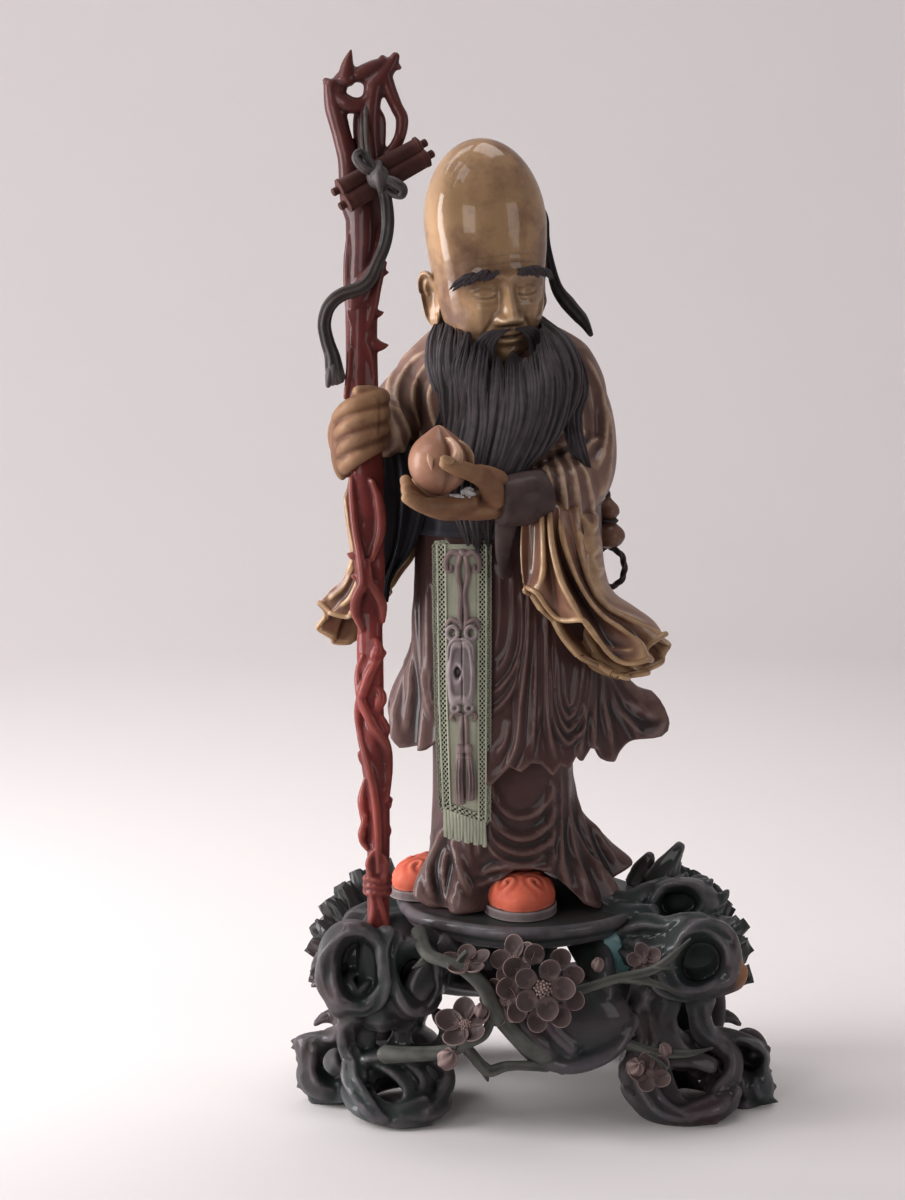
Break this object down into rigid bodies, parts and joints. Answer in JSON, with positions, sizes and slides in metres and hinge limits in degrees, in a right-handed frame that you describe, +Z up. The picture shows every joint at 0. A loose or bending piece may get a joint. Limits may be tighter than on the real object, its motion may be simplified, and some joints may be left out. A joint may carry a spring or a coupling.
{
  "type": "shou lao figure",
  "caption": "Carved and lacquered figure of a bearded old man with a tall bald head, holding a peach and a gnarled staff, on a pierced rootwork stand with plum blossom.",
  "frame": {"origin": "on the floor, under the middle of the whole work's box", "axes": "+Z up, -Y towards the figure's front, +X towards the figure's left side"},
  "size_m": [0.2362, 0.1592, 0.5],
  "materials": {
    "stand_lacquer": "satin black-green lacquer with brown and blue-grey tints",
    "robe_lacquer": "satin aubergine and mauve-gold lacquer, worn along the folds",
    "red_lacquer": "satin cinnabar red lacquer",
    "dark_lacquer": "satin dark brown lacquer",
    "gold_lacquer": "polished bronze-gold lacquer",
    "brown_lacquer": "satin brown lacquer"
  },
  "bodies": {
    "root": {"stand": "stand_lacquer", "figure": "robe_lacquer", "staff": "red_lacquer", "scrolls": "dark_lacquer", "peach": "gold_lacquer", "gourd": "brown_lacquer"}
  },
  "joints": []
}
